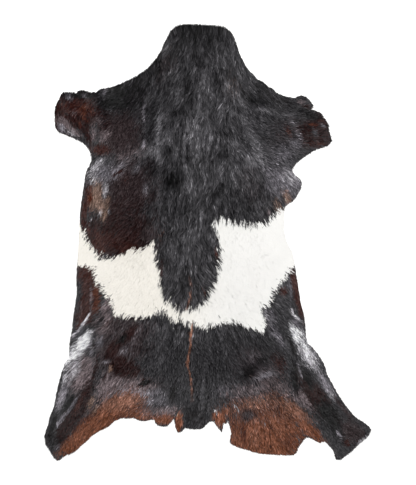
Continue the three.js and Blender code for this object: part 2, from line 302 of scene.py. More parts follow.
    (192, -155, 14, 3, 285, "silver", 1.4), (203, -172, 18, 3, 318, "silver", 1.2),
    (205, -186, 20, 8, 325, "ash", 0.8), (152, -205, 50, 14, 305, "ash", 0.9),
    (145, -166, 30, 14, 300, "ash", 0.75), (172, -112, 12, 12, 290, "maroon", 1.0),
    (204, -115, 60, 10, 283, "maroon", 1.5), (188, -105, 40, 4, 275, "ash", 0.8),

    # The right foreleg, chest, armpit and flank
    (160, 328, 66, 26, 335, "jet", 0.6), (250, 255, 50, 46, 0, "oxblood", 1.1),
    (230, 290, 34, 14, 340, "jet", 0.9), (242, 270, 14, 5, 0, "chestnut", 0.7),
    (260, 276, 12, 6, 340, "maroon", 0.9), (250, 225, 12, 34, 270, "maroon", 0.7),
    (245, 252, 14, 8, 300, "coal", 0.8), (262, 268, 14, 4, 320, "ash", 0.7),
    (214, 322, 14, 10, 0, "mauve", 0.6), (225, 312, 12, 6, 350, "oxblood", 0.8),
    (186, 252, 14, 8, 300, "chestnut", 0.55), (166, 232, 26, 16, 300, "oxblood", 0.3),
    (208, 242, 18, 10, 300, "pewter", 0.5), (200, 225, 20, 16, 310, "ash", 0.7),
    (195, 275, 16, 5, 335, "pewter", 0.4), (172, 200, 40, 40, 310, "ash", 0.65),
    (172, 140, 58, 46, 305, "ash", 0.9), (190, 150, 30, 22, 310, "silver", 0.62),
    (205, 138, 18, 14, 315, "pewter", 0.6), (165, 158, 55, 26, 305, "pewter", 0.4),
    (168, 150, 18, 3, 305, "silver", 0.6), (149, 126, 14, 3, 305, "silver", 0.5),
    (180, 104, 24, 12, 292, "taupe", 0.7), (182, 116, 12, 8, 290, "copper", 0.4),
    (160, 80, 26, 14, 288, "taupe", 0.6), (140, 68, 18, 8, 284, "mauve", 0.5),

    # Single long pale hairs
    (18, -388, 12, 2, 300, "silver", 0.9), (66, -380, 13, 2, 305, "silver", 0.9),
    (128, -412, 16, 1.6, 308, "silver", 0.7),
]

# Where the black coat is ruffled, in the same ovals, with painted light and shade: over 0 it turns
# its sides to the light and is painted lighter, with a painted sheen, and under 0 it parts and is
# painted darker, with the painted shade of its depth. Only its colour changes.
PAINTED_SHEEN_AND_SHADE = [
    # x, y, along, aside, heading, turn
    # The neck
    (-25, 490, 22, 70, 270, -0.9), (-106, 400, 44, 22, 240, -0.9), (-36, 474, 16, 24, 270, -0.8),
    (-20, 440, 60, 90, 270, -0.65), (-49, 393, 10, 8, 270, -1.4), (-15, 420, 50, 30, 268, 0.3),
    (-46, 352, 28, 10, 262, -1.6), (-8, 368, 44, 7, 267, 0.9), (-93, 396, 16, 12, 250, -0.9),
    (-148, 376, 20, 10, 220, -0.8), (68, 399, 16, 9, 300, -0.6), (-122, 398, 22, 9, 225, -0.9),
    (-61, 486, 14, 10, 270, -0.8), (120, 360, 18, 9, 320, -0.9), (61, 408, 12, 9, 290, -0.6),
    (-105, 410, 14, 8, 250, -0.8), (-86, 364, 14, 12, 260, -1.0),

    # The withers and the shoulders
    (-70, 334, 34, 6, 250, 1.0), (-24, 285, 54, 8, 268, 0.9), (28, 305, 30, 6, 290, 0.9),
    (70, 320, 22, 12, 300, 0.6), (100, 282, 22, 14, 285, 0.8), (29, 305, 14, 8, 270, -0.6),
    (-210, 332, 24, 14, 220, -1.2), (-194, 310, 18, 12, 230, -0.8), (-118, 289, 16, 10, 262, -0.7),
    (45, 332, 16, 9, 280, 0.7), (128, 305, 16, 9, 295, 0.6), (77, 316, 20, 10, 290, 0.6),
    (-137, 332, 16, 12, 250, 0.8), (-104, 290, 22, 6, 215, 1.3), (-146, 288, 58, 8, 272, 0.25),
    (-129, 275, 50, 10, 268, -0.6), (-165, 345, 50, 60, 250, -0.9), (-64, 297, 12, 28, 275, -2.2),
    (-61, 276, 14, 6, 265, -1.5), (70, 288, 28, 7, 330, 1.0), (112, 324, 20, 11, 350, -2.0),
    (136, 301, 34, 6, 350, 1.1), (123, 276, 16, 5, 270, 1.0), (112, 284, 16, 7, 270, -1.2),
    (126, 303, 14, 3, 0, 1.2), (178, 292, 20, 3, 8, 1.2),

    # The back and the ribs
    (-10, 260, 130, 115, 270, 0.55), (92, 160, 60, 40, 295, 0.45), (-32, 232, 34, 26, 270, 0.6),
    (0, 248, 20, 9, 270, -0.9), (-98, 229, 16, 9, 262, 0.8), (-110, 188, 18, 12, 255, 0.7),
    (-66, 156, 14, 9, 268, 0.7), (88, 240, 18, 10, 290, 0.8), (50, 213, 14, 9, 285, 0.7),
    (114, 257, 16, 10, 295, 0.7), (38, 177, 14, 9, 275, 0.6), (-9, 140, 14, 8, 270, -0.7),
    (-187, 204, 16, 10, 240, -0.7), (-84, 227, 14, 8, 262, 0.7), (-203, 161, 18, 12, 228, 0.7),
    (118, 184, 20, 12, 300, 0.8), (-27, 211, 20, 10, 270, 0.7), (-157, 209, 20, 12, 250, 0.7),
    (-84, 165, 16, 10, 265, 0.7), (60, 218, 16, 10, 290, 0.8), (-123, 196, 18, 10, 250, 0.8),
    (-113, 258, 42, 7, 264, 1.5), (-132, 211, 36, 14, 222, 1.6), (-112, 198, 18, 12, 250, 1.2),
    (-90, 242, 24, 9, 268, 0.8), (-73, 220, 20, 9, 268, 0.9), (-72, 205, 27, 4, 258, 1.6),
    (-68, 236, 20, 9, 265, -1.5), (-88, 207, 14, 13, 270, -1.0), (-54, 190, 22, 11, 266, -0.9),
    (-131, 176, 34, 18, 262, -1.1), (-80, 145, 27, 20, 268, -2.4), (-111, 130, 44, 6, 266, 0.9),
    (-142, 122, 22, 7, 260, 0.9), (-42, 140, 44, 13, 268, 0.8), (-8, 128, 34, 7, 266, 0.8),
    (18, 136, 22, 4, 248, 1.2), (21, 116, 30, 9, 240, -1.9), (98, 250, 44, 10, 299, 1.2),
    (117, 206, 32, 15, 300, 1.4), (92, 190, 26, 16, 290, 1.3), (60, 223, 24, 14, 296, 1.0),
    (36, 162, 14, 4, 330, 1.8), (57, 150, 13, 4, 292, 1.8), (66, 172, 11, 4, 300, 1.5),
    (197, 268, 26, 8, 300, 1.0), (36, 250, 10, 20, 270, -1.1), (34, 205, 11, 20, 270, -1.0),
    (92, 226, 13, 7, 285, -1.2),

    # The loin, the flanks and the tongue
    (-58, -19, 20, 10, 268, -0.9), (-73, 19, 14, 9, 268, -0.7), (43, 74, 14, 9, 275, 0.6),
    (-116, 42, 14, 10, 262, 0.8), (-82, -106, 16, 9, 262, -0.6), (-73, 30, 14, 9, 268, -0.5),
    (134, 81, 14, 9, 290, 0.6), (-134, 74, 18, 12, 262, -0.8), (188, -115, 22, 9, 285, -0.9),
    (-11, 49, 14, 8, 270, -0.7), (-266, 30, 30, 8, 262, -0.9), (45, 76, 14, 9, 280, 0.7),
    (-160, 3, 20, 10, 262, 0.6), (-121, 21, 14, 9, 265, 0.7), (122, 85, 16, 12, 290, 0.7),
    (-50, 99, 16, 9, 268, -0.7), (-34, 2, 16, 9, 268, -0.7), (-72, 82, 18, 12, 270, -0.9),
    (88, 92, 34, 62, 280, -0.6), (-32, 5, 44, 16, 268, 0.9), (-58, -25, 50, 7, 268, 0.4),
    (-70, 40, 50, 20, 260, -0.1),

    # Below the saddle
    (100, -259, 18, 12, 285, 0.8), (114, -261, 16, 10, 285, 0.7), (148, -208, 14, 9, 300, -0.9),
    (0, -268, 18, 10, 280, 0.7), (-304, -364, 18, 8, 245, -0.6), (267, -408, 30, 14, 310, -0.8),
    (118, -219, 16, 9, 290, -0.8), (-54, -378, 14, 8, 270, -0.6), (80, -294, 14, 9, 285, 0.6),
    (-84, -376, 18, 10, 262, 0.8), (-205, -250, 22, 14, 240, 0.8), (-152, -190, 18, 10, 262, 0.8),
    (-311, -322, 16, 8, 250, -0.5), (-171, -207, 18, 14, 262, 0.9), (128, -302, 36, 6, 20, 0.8),
    (-12, -330, 46, 4, 266, 1.2), (15, -290, 60, 40, 280, -0.4), (-108, -268, 20, 12, 260, 0.9),
    (106, -284, 38, 18, 220, -0.6),
]


def linear(colour):
    """An sRGB hex colour as linear red, green and blue."""
    parts = np.array([int(colour[i:i + 2], 16) / 255 for i in (1, 3, 5)])
    return np.where(parts <= 0.04045, parts / 12.92, ((parts + 0.055) / 1.055) ** 2.4)


def smooth(edge0, edge1, value):
    """0 below edge0, 1 above edge1 and a soft step between them."""
    t = np.clip((value - edge0) / (edge1 - edge0), 0, 1)
    return t * t * (3 - 2 * t)


# The camera hangs straight over the rug.

FRAME_HEIGHT = 1.110  # what the picture takes in, from top to bottom
FRAMED_LEVEL = 6 * MM  # the height over the floor at which it takes in that much
LENS = 85
SENSOR = 36


def make_camera():
    height = FRAME_HEIGHT * LENS / SENSOR + FRAMED_LEVEL
    bpy.ops.object.camera_add(location=(0, 0, height), rotation=(0, 0, 0))
    camera = bpy.context.object
    camera.name = "camera"
    camera.data.lens = LENS
    camera.data.sensor_width = SENSOR
    camera.data.clip_end = 50
    bpy.context.scene.camera = camera


# Maps: one number every MAP_STEP over the floor, read anywhere between them.

REACH = 40 * MM  # how far the maps run past the rug
MAP_X = np.arange(cad_box[0].x - REACH, cad_box[1].x + REACH, MAP_STEP)
MAP_Y = np.arange(cad_box[0].y - REACH, cad_box[1].y + REACH, MAP_STEP)
GRID_X, GRID_Y = np.meshgrid(MAP_X, MAP_Y)


def read(field, x, y):
    """The field's value at each point, blended between the four map points round it."""
    u = np.clip((x - MAP_X[0]) / MAP_STEP, 0, len(MAP_X) - 1.001)
    v = np.clip((y - MAP_Y[0]) / MAP_STEP, 0, len(MAP_Y) - 1.001)
    i = u.astype(int)
    j = v.astype(int)
    fu = u - i
    fv = v - j
    low = field[j, i] * (1 - fu) + field[j, i + 1] * fu
    high = field[j + 1, i] * (1 - fu) + field[j + 1, i + 1] * fu
    return low * (1 - fv) + high * fv


def blurred(field, radius):
    """The field averaged over about radius each way."""
    steps = max(1, round(radius / MAP_STEP))
    for axis in (0, 1):
        for _ in range(2):
            padded = np.pad(field, [(steps, steps) if a == axis else (0, 0) for a in (0, 1)], "edge")
            total = np.cumsum(padded, axis)
            total = np.insert(total, 0, 0, axis)
            width = 2 * steps + 1
            near = [slice(None), slice(None)]
            far = [slice(None), slice(None)]
            near[axis] = slice(0, field.shape[axis])
            far[axis] = slice(width, width + field.shape[axis])
            field = (total[tuple(far)] - total[tuple(near)]) / width
    return field


def noise_map(rng, size):
    """Soft noise with blotches about size across, with a mean of 0 and a spread of 1."""
    field = blurred(rng.standard_normal(GRID_X.shape), size / 2)
    return (field - field.mean()) / field.std()


def distance_map(loop):
    """How far each map point lies inside a closed loop, less than 0 outside it."""
    nearest = np.full(GRID_X.shape, np.inf)
    inside = np.zeros(GRID_X.shape, bool)
    for (ax, ay), (bx, by) in zip(loop, np.roll(loop, -1, axis=0)):
        dx, dy = bx - ax, by - ay
        t = np.clip(((GRID_X - ax) * dx + (GRID_Y - ay) * dy) / (dx * dx + dy * dy), 0, 1)
        nearest = np.minimum(nearest, np.hypot(GRID_X - ax - t * dx, GRID_Y - ay - t * dy))
        if ay != by:
            crosses = ((ay > GRID_Y) != (by > GRID_Y)) & (GRID_X < ax + (GRID_Y - ay) / (by - ay) * dx)
            inside ^= crosses
    return np.where(inside, nearest, -nearest)


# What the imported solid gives: its outline, how high its underside and its top stand.

def solid_copy():
    """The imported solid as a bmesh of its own, with its loose triangles joined up."""
    shell = bmesh.new()
    shell.from_mesh(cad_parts["goatskin"].data)
    bmesh.ops.remove_doubles(shell, verts=shell.verts, dist=0.01 * MM)
    shell.normal_update()
    return shell


def outline_of(shell):
    """The rim between the top and the upright edge of the solid, in order."""
    upward = 0.2
    follows = {}
    for edge in shell.edges:
        tops = [f for f in edge.link_faces if f.normal.z > upward]
        if len(tops) != 1:
            continue
        loop = next(l for l in tops[0].loops if l.edge == edge)
        follows[loop.vert] = loop.link_loop_next.vert
    start = min(follows, key=lambda vert: vert.co.y)
    rim = [start]
    while follows[rim[-1]] is not start:
        rim.append(follows[rim[-1]])
    return np.array([vert.co.xy for vert in rim])


def relief_of(shell, inside):
    """Maps of the heights of the solid's underside and top."""
    tree = BVHTree.FromBMesh(shell)
    under = np.full(GRID_X.shape, np.nan)
    top = np.full(GRID_X.shape, np.nan)
    high = Vector((0, 0, 0.1))
    for j, i in zip(*np.nonzero(inside)):
        place = Vector((GRID_X[j, i], GRID_Y[j, i], 0))
        from_above = tree.ray_cast(place + high, -high)[0]
        from_below = tree.ray_cast(place - high, high)[0]
        if from_above and from_below:
            top[j, i] = from_above.z
            under[j, i] = from_below.z
    return spread_out(under), spread_out(top)


def spread_out(field):
    """Fills the empty part of a map with the values at its rim."""
    known = ~np.isnan(field)
    filled = np.where(known, field, 0)
    while not known.all():
        total = np.zeros_like(filled)
        count = np.zeros_like(filled)
        for axis, way in ((0, 1), (0, -1), (1, 1), (1, -1)):
            total += np.roll(filled * known, way, axis)
            count += np.roll(known, way, axis)
        fresh = ~known & (count > 0)
        filled[fresh] = total[fresh] / count[fresh]
        known |= fresh
    return filled


def lie_maps(rng):
    """The direction in which the hair lies, as its x and its y, and its share of full length."""
    near = 26 * MM  # a place's pull levels off nearer than this
    east = np.zeros(GRID_X.shape)
    north = np.zeros(GRID_X.shape)
    long = np.zeros(GRID_X.shape)
    total = np.zeros(GRID_X.shape)
    for x, y, heading, length in LIE:
        away = (GRID_X - x * MM) ** 2 + (GRID_Y - y * MM) ** 2 + near ** 2
        pull = 1 / away ** 1.6
        east += math.cos(math.radians(heading)) * pull
        north += math.sin(math.radians(heading)) * pull
        long += length * pull
        total += pull
    # All hair sways a little, and the long hair of the back runs in small waves as well.
    sway = np.radians(7) * noise_map(rng, 60 * MM) + np.radians(5) * noise_map(rng, 24 * MM)
    waves = np.radians(11) * noise_map(np.random.default_rng(SEED + 1), 15 * MM)
    heading = np.arctan2(north, east) + sway + waves * smooth(0.6, 0.95, long / total)
    return np.cos(heading), np.sin(heading), long / total


def combed(field, length):
    """The field drawn out along the lie of the hair, over length each way."""
    total = field.copy()
    for way in (1, -1):
        x, y = GRID_X.copy(), GRID_Y.copy()
        for _ in range(round(length / MAP_STEP)):
            dx, dy = read(lie_x, x, y), read(lie_y, x, y)
            x += way * dx * MAP_STEP
            y += way * dy * MAP_STEP
            total += read(field, x, y)
    return (total - total.mean()) / total.std()


make_camera()
rng = np.random.default_rng(SEED)
solid = solid_copy()
outline = outline_of(solid)
edge_distance = distance_map(outline)
underside, top = relief_of(solid, edge_distance > 0.5 * MM)
solid.free()
skin_top = blurred(underside, 4 * MM) + SKIN
pile_depth = blurred(top, 6 * MM) - skin_top
lie_x, lie_y, length_share = lie_maps(rng)
# These streaks and clusters set the painted sheen and shade of the hair; the streaks also raise its pile
# a little, and the fine ones fray the edges of its markings.
fine_streaks = combed(rng.standard_normal(GRID_X.shape), 16 * MM)
broad_streaks = combed(noise_map(rng, 9 * MM), 18 * MM)
clusters = combed(noise_map(rng, 20 * MM), 20 * MM)
blotches = noise_map(rng, 34 * MM)
ragged = noise_map(rng, 8 * MM)
inward_x, inward_y = np.gradient(blurred(edge_distance, 3 * MM), MAP_STEP)[::-1]
runs_inward = smooth(0.2, 0.9, inward_x * lie_x + inward_y * lie_y)
saddle_distance = distance_map(np.array(SADDLE) * MM)
tongue_distance = distance_map(np.array(TONGUE) * MM)


def oval(x, y, cx, cy, along, aside, heading, wobble):
    """1 in the middle of an oval and 0 outside it, with a soft and thready edge."""
    c, s = math.cos(math.radians(heading)), math.sin(math.radians(heading))
    dx, dy = x / MM - cx, y / MM - cy
    out = np.hypot((dx * c + dy * s) / along, (dy * c - dx * s) / aside)
    return np.exp(-1.2 * np.maximum(out + wobble, 0) ** 2)


def parting_share(x, y):
    """How much of the tan undercoat shows at each place, from 0 to 1."""
    shows = np.zeros(len(x))
    rough = read(ragged, x, y)
    for (ax, ay, start), (bx, by, end) in zip(PARTING, PARTING[1:]):
        dx, dy = bx - ax, by - ay
        t = np.clip(((x / MM - ax) * dx + (y / MM - ay) * dy) / (dx * dx + dy * dy), 0, 1)
        off = np.hypot(x / MM - ax - t * dx, y / MM - ay - t * dy) + 0.7 * rough
        shows = np.maximum(shows, (start + (end - start) * t) * (1 - smooth(1.0, 3.2, off)))
    return shows


MIXING = 0.24  # how gradually hair of one colour gives way to another


def in_saddle(x, y):
    """Whether each place is in the white saddle and clear of the tongue, with ragged edges."""
    jitter = 0.8 * MM * read(ragged, x, y)
    inset = 2 * MM
    on_white = read(saddle_distance, x, y) + jitter > inset
    return on_white & (read(tongue_distance, x, y) + jitter < 0)


def coat(x, y, pale, turn, choice):
    """The linear colour that the hair at each place shows. Where pale, it is in the saddle.

    turn is how far it turns its side to the light, about 0 with a spread of 1: it paints the colour
    lighter with a highlight or darker with shade. Where two colours of hair grow together, choice
    from 0 to 1 says which of them this one mostly takes.
    """
    hair = np.broadcast_to(linear(HAIRS["black"]), (len(x), 3))
    streaks = read(fine_streaks, x, y)
    wobble = 0.02 * read(ragged, x, y) + 0.05 * read(blotches, x, y) + 0.1 * streaks
    threshold = 0.24 + 0.52 * choice
    # Hair of other colours, with painted sheen and painted shade among them.
    for cx, cy, along, aside, heading, name, plain in MARKINGS_AND_PAINTED_LIGHT:
        share = plain * oval(x, y, cx, cy, along, aside, heading, wobble)
        share = smooth(threshold - MIXING, threshold + MIXING, share)[:, None]
        hair = hair * (1 - share) + linear(HAIRS[name]) * share
    # The ruffles paint sheen and shade into the colour through how far the hair turns to the light.
    for cx, cy, along, aside, heading, amount in PAINTED_SHEEN_AND_SHADE:
        turn = turn + amount * oval(x, y, cx, cy, along, aside, heading, wobble)
    share = parting_share(x, y)[:, None]
    hair = hair * (1 - share) + linear(HAIRS["copper"]) * share

    # Painted light and shade: a dark hair is painted dimmer as it turns away, and given a painted
    # highlight as it turns towards it. Grey and brown hair varies more than black, and silver hair is
    # streaked. The blackest varies least.
    brightness = hair.mean(axis=1)
    turn = turn * (1 + 0.25 * smooth(0.03, 0.1, brightness))
    turn = turn + 0.7 * smooth(0.05, 0.25, brightness) * streaks
    depth = 0.75 * (1 - 0.1 * smooth(0.04, 0.35, brightness))
    depth = depth * (0.55 + 0.45 * smooth(0.01, 0.03, brightness))
    tone = np.exp(depth * turn)[:, None]
    hair = hair * np.minimum(tone, 0.55 + 0.45 * tone)
    hair = hair + linear(PAINTED_SHEEN) * 0.03 * np.maximum(tone - 1, 0)

    # The saddle is a little creamier on the left.
    rightward = smooth(-0.12, 0.06, x)[:, None]
    saddle = linear(HAIRS["cream"]) * (1 - rightward) + linear(HAIRS["white"]) * rightward
    # The white takes a faint painted light and shade from how far it turns to the light.
    saddle = saddle * (1 + 0.01 * turn)[:, None]
    return np.where(pale[:, None], saddle, hair)


# What a hair must be painted to show as written: the pile shades it, and its own gloss greys it.
# Short sleek hair shades itself less than long loose hair and shines a little more.
SLEEK_KEEPS, LOOSE_KEEPS = 0.80, 0.67
SLEEK_GLOSS, LOOSE_GLOSS = 0.014, 0.005
SADDLE_KEEPS = 1.0


def paint_for(shown, pale, loose):
    keeps = np.where(pale, SADDLE_KEEPS, SLEEK_KEEPS + (LOOSE_KEEPS - SLEEK_KEEPS) * loose)[:, None]
    gloss = (SLEEK_GLOSS + (LOOSE_GLOSS - SLEEK_GLOSS) * loose)[:, None]
    return np.clip(np.maximum(shown - gloss, 0.08 * shown) / keeps, 0, 0.97)


# Painted shade: hair is painted darker where it stands deep in the pile, and a touch lighter at its
# tip: the shade at each of a strand's points.
ROOT_SHADE = np.array([0.5, 0.75, 1.0, 1.08])


def shaded(colour, shade):
    """A colour dimmed by a share of painted shade, less so the paler it is: pale hair passes light on."""
    brightness = colour @ np.array([0.2126, 0.7152, 0.0722])
    keeps = np.clip(brightness, 0, 1)
    return colour * (shade + (1 - shade) * keeps)[:, None]


# The skin

def skin_mesh():
    """The top of the skin as one sheet: a net of triangles inside the outline. Its thickness is added
    after.
    """
    ahead = np.roll(outline, -1, axis=0)
    rim = np.concatenate([outline, outline + (ahead - outline) * 0.5], axis=1).reshape(-1, 2)
    slope = np.stack([read(inward_x, *rim.T), read(inward_y, *rim.T)], axis=1)
    slope /= np.linalg.norm(slope, axis=1)[:, None]
    rim = rim + slope * SKIN_INSET

    row_step = SKIN_FACE * math.sqrt(3) / 2
    rows = np.arange(cad_box[0].y, cad_box[1].y, row_step)
    columns = np.arange(cad_box[0].x, cad_box[1].x, SKIN_FACE)
    x, y = np.meshgrid(columns, rows)
    x = x + (np.arange(len(rows)) % 2)[:, None] * SKIN_FACE / 2
    clear_of_rim = SKIN_INSET + SKIN_FACE * 0.55
    inner = read(edge_distance, x, y) > clear_of_rim
    points = [Vector(p) for p in rim] + [Vector(p) for p in zip(x[inner], y[inner])]
    inside_faces = 1
    made = delaunay_2d_cdt(points, [], [list(range(len(rim)))], inside_faces, 1e-6)
    flat = np.array(made[0])
    height = read(skin_top, *flat.T)
    mesh = bpy.data.meshes.new("skin")
    mesh.from_pydata(np.column_stack([flat, height]).tolist(), [], made[2])
    return mesh


def paint(mesh, colours):
    """Stores a colour for each point of a mesh, for its material to read."""
    layer = mesh.color_attributes.new("coat", "FLOAT_COLOR", "POINT")
    layer.data.foreach_set("color", np.column_stack([colours, np.ones(len(colours))]).ravel())


def make_skin():
    skin = bpy.data.objects.new("skin", skin_mesh())
    bpy.context.collection.objects.link(skin)
    thickness = skin.modifiers.new("thickness", "SOLIDIFY")
    thickness.thickness = SKIN
    thickness.offset = -1
    bpy.ops.object.select_all(action="DESELECT")
    bpy.context.view_layer.objects.active = skin
    skin.select_set(True)
    bpy.ops.object.modifier_apply(modifier="thickness")
    skin.data.shade_smooth()
    points = np.empty(len(skin.data.vertices) * 3)
    skin.data.vertices.foreach_get("co", points)
    x, y = points.reshape(-1, 3)[:, :2].T
    pale = in_saddle(x, y)
    shown = coat(x, y, pale, np.zeros(len(x)), 0.5)
    # The skin is painted with the hair's colour under the deepest painted shade of the roots.
    paint(skin.data, shaded(paint_for(shown, pale, np.ones(len(x))), ROOT_SHADE[0]))
    return skin


# The hair

def scattered(spacing, spread, inset):
    """Places over the skin about spacing apart, moved at random by up to spread of it."""
    x, y = np.meshgrid(
        np.arange(cad_box[0].x + inset, cad_box[1].x - inset, spacing),
        np.arange(cad_box[0].y + inset, cad_box[1].y - inset, spacing),
    )
    x = (x + rng.uniform(-spread, spread, x.shape) * spacing).ravel()
    y = (y + rng.uniform(-spread, spread, y.shape) * spacing).ravel()
    kept = read(edge_distance, x, y) > inset
    return x[kept], y[kept]


def nearest_of(x, y, others_x, others_y):
    """For each place, the number of the nearest of the others."""
    tree = KDTree(len(others_x))
    for i, place in enumerate(zip(others_x, others_y, np.zeros(len(others_x)))):
        tree.insert(place, i)
    tree.balance()
    return np.array([tree.find((px, py, 0))[1] for px, py in zip(x, y)])


def gathered(gather, parents=None):
    """Points that hair gathers round, each with small differences of its own on its parent's."""
    x, y = scattered(gather["spacing"] * MM, 0.45, SKIN_INSET)
    spread = {name: gather[name] for name in ("turn", "lift", "roll", "length", "shade")}
    for angle in ("turn", "roll"):
        spread[angle] = math.radians(spread[angle])
    bunch = {name: size * rng.standard_normal(len(x)) for name, size in spread.items()}
    if parents:
        of = nearest_of(x, y, parents["x"], parents["y"])
        for name in spread:
            bunch[name] += parents[name][of]
        bunch["of"] = of
    bunch["x"] = x
    bunch["y"] = y
    bunch["half"] = gather["spacing"] * MM / 2
    bunch["spike"] = gather["spike"] * MM * rng.uniform(0.2, 1.8, len(x))
    bunch["choice"] = rng.uniform(size=len(x))
    bunch["heading"] = lie_at(x, y) + bunch["turn"]
    return bunch


def lie_at(x, y):
    return np.arctan2(read(lie_y, x, y), read(lie_x, x, y))


def drawn_to(px, py, bunch, of, along, pull):
    """Draws points of strands towards the lines that their bunches run along."""
    heading = bunch["heading"][of][:, None]
    px += pull * (bunch["x"][of][:, None] + along * np.cos(heading) - px)
    py += pull * (bunch["y"][of][:, None] + along * np.sin(heading) - py)


def spiked(x, y, bunch, of):
    """How far the point of a bunch runs ahead: farthest along the bunch's middle line."""
    heading = bunch["heading"][of]
    aside = (y - bunch["y"][of]) * np.cos(heading) - (x - bunch["x"][of]) * np.sin(heading)
    return bunch["spike"][of] * (1 - 2 * np.minimum(np.abs(aside) / bunch["half"], 1.2))


def rooted():
    """Where each strand grows. Roots that stand a little outside the edge cover it.

    They stand farthest outside where the hair runs inward.
    """
    x, y = scattered(STRAND_SPACING, 0.5, -ROOTS_PAST)
    overhang = (0.5 + 2.3 * read(runs_inward, x, y)) * MM
    kept = read(edge_distance, x, y) > -overhang
    return x[kept], y[kept]


def wisp_of(x, y, wisps):
    """The number of each strand's wisp. Near the border of two wisps, their strands mix."""
    stray = 1.0 * MM
    strayed_x = x + rng.normal(0, stray, len(x))
    strayed_y = y + rng.normal(0, stray, len(x))
    return nearest_of(strayed_x, strayed_y, wisps["x"], wisps["y"])


def colour_of(x, y, length, heading, loose, pale, wisps, wisp):
    """Each strand's colour: that of the place where it shows, in long hair mostly its wisp's."""
    count = len(x)
    shown = SHOWS_AT * length
    tip_x, tip_y = x + shown * np.cos(heading), y + shown * np.sin(heading)
    wisp_x = wisps["x"][wisp] + shown * np.cos(wisps["heading"][wisp])
    wisp_y = wisps["y"][wisp] + shown * np.sin(wisps["heading"][wisp])
    with_wisp = rng.uniform(size=count) < 0.4 + 0.45 * loose
    see_x = np.where(with_wisp, wisp_x, tip_x)
    see_y = np.where(with_wisp, wisp_y, tip_y)

    # How far each strand turns to the light, which sets the painted sheen or painted shade of its colour:
    # from its lock's streaks and clusters, its wisp's shade and its own.
    turn = 0.12 * read(clusters, wisp_x, wisp_y) + 0.25 * read(broad_streaks, wisp_x, wisp_y)
    turn = (0.12 + 0.88 * loose) * (turn + wisps["shade"][wisp])
    turn = turn + (0.1 + 0.4 * loose) * read(fine_streaks, see_x, see_y)
    turn = turn + (0.6 + 0.2 * loose) * rng.standard_normal(count)
    choice = 0.15 * wisps["choice"][wisp] + 0.85 * rng.uniform(size=count)
    return paint_for(coat(see_x, see_y, pale, turn, choice), pale, loose)


def trimmed(px, py, loose, unevenness):
    """The strands' points with hair cut that would reach past the edge, and what share is kept."""
    root_inward = read(edge_distance, px[:, 0], py[:, 0])
    tip_inward = read(edge_distance, px[:, -1], py[:, -1])
    limit = (rng.uniform(-1.2, 2.0, len(px)) - 2.5 * (1 - loose) * unevenness ** 2) * MM
    kept = np.clip((root_inward - limit) / np.maximum(root_inward - tip_inward, 1e-6), 0.12, 1)
    kept[tip_inward > limit] = 1
    px = px[:, :1] + (px - px[:, :1]) * kept[:, None]
    py = py[:, :1] + (py - py[:, :1]) * kept[:, None]
    return px, py, kept


def sideways(points, roll):
    """The direction across each strand, rolled about its length."""
    run = points[:, -1] - points[:, 0]
    run /= np.linalg.norm(run, axis=1)[:, None]
    across = np.cross(run, [0, 0, 1.0])
    across /= np.linalg.norm(across, axis=1)[:, None]
    upward = np.cross(across, run)
    return across * np.cos(roll)[:, None] + upward * np.sin(roll)[:, None]


def comb_hair():
    """Lays every strand: its four points, its sideways direction, width and colour."""
    locks = gathered(LOCK)
    wisps = gathered(WISP, locks)
    x, y = rooted()
    count = len(x)
    wisp = wisp_of(x, y, wisps)
    lock = wisps["of"][wisp]

    share = read(length_share, x, y)
    loose = smooth(0.3, 0.85, share)  # short hair lies sleek, and long hair ruffled
    length = HAIR_LENGTH * share * (1 + wisps["length"][wisp]) * rng.normal(1, 0.08, count)
    lie = lie_at(x, y)

    # At the saddle's edge a strand keeps the colour of its root, so that tufts of one colour lie
    # over the other. White hair lies closer than dark hair.
    ahead = SHOWS_AT * HAIR_LENGTH * share - spiked(x, y, locks, lock) - spiked(x, y, wisps, wisp)
    pale = in_saddle(x + ahead * np.cos(lie), y + ahead * np.sin(lie))
    calm = np.where(pale, 0.06, 0.18 + 0.82 * loose)  # how unevenly the hair stands
    gather = np.where(pale, 0.15, 1)[:, None]  # how closely it is drawn into wisps
    straggle = np.where(pale, 0.5, 1)  # how far it strays from the lie
    heading = lie + straggle * (loose * wisps["turn"][wisp] + np.radians(5) * rng.standard_normal(count))
    bend = np.radians(12) * straggle * loose * rng.standard_normal(count)
    colour = colour_of(x, y, length, heading, loose, pale, wisps, wisp)

    along = STRAND_ALONG[None, :] * length[:, None]
    turned = heading[:, None] + bend[:, None] * STRAND_ALONG[None, :]
    px = x[:, None] + along * np.cos(turned)
    py = y[:, None] + along * np.sin(turned)
    drawn_to(px, py, locks, lock, along, 0.3 * gather * STRAND_ALONG ** 2)
    drawn_to(px, py, wisps, wisp, along, 0.7 * gather * STRAND_ALONG ** 1.4)
    px, py, kept = trimmed(px, py, loose, wisps["choice"][wisp])

    ridge = 0.14 * read(broad_streaks, x, y) + 0.08 * read(fine_streaks, x, y)
    lift = 0.92 + calm * (ridge + wisps["lift"][wisp] + rng.normal(0, 0.08, count))
    climb = STRAND_CLIMB[None, :] * np.clip(lift, 0.3, 1.3)[:, None] * np.sqrt(kept)[:, None]
    pz = read(skin_top, px, py) + climb * read(pile_depth, px, py)

    points = np.stack([px, py, pz], axis=2)
    roll = calm * (wisps["roll"][wisp] + np.radians(20) * rng.standard_normal(count))
    width = STRAND_WIDTH * np.clip(rng.normal(1, 0.2, count), 0.5, 1.6)
    width = width * np.where(pale, 2.1, 1.25 - 0.25 * loose)
    return points, sideways(points, roll), width, colour


STRAND_LEVEL = np.array([0, 0, 1, 1, 2, 2, 3])  # which point of its strand each corner is at
STRAND_FACES = np.array([0, 1, 3, 2, 2, 3, 5, 4, 4, 5, 6])  # the corners round its three faces


